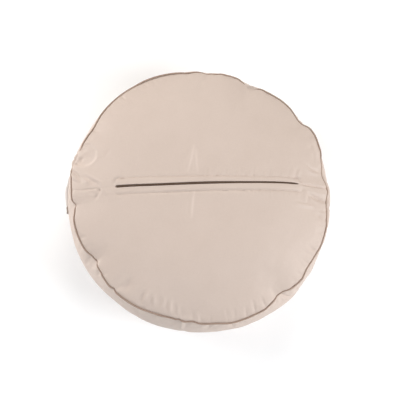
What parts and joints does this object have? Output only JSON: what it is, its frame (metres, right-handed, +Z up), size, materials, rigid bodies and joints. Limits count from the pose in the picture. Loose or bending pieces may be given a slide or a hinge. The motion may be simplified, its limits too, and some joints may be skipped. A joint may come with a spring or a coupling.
{
  "type": "round pouf",
  "caption": "Round boxed floor pouf of pale cloth with thin rim piping, a zipped crosswise seam in one face and a small side tab.",
  "frame": {"origin": "middle of the footprint, on the surface that the pouf rests on", "axes": "+Z up through the zipped face; +X along the zip to its narrow end; +Y across the zip"},
  "size_m": [0.5222, 0.5158, 0.2258],
  "materials": {
    "cover_cloth": "fine plain weave with a faint sheen, pale beige",
    "piping_cloth": "matt taupe cloth over a thin cord",
    "zip_teeth": "dark brown nylon coil"
  },
  "bodies": {
    "root": {"pouf_body": "cover_cloth", "rim_piping_upper": "piping_cloth", "rim_piping_lower": "piping_cloth", "zip": "zip_teeth", "side_tab": "cover_cloth", "side_tab_binding": "piping_cloth"}
  },
  "joints": []
}
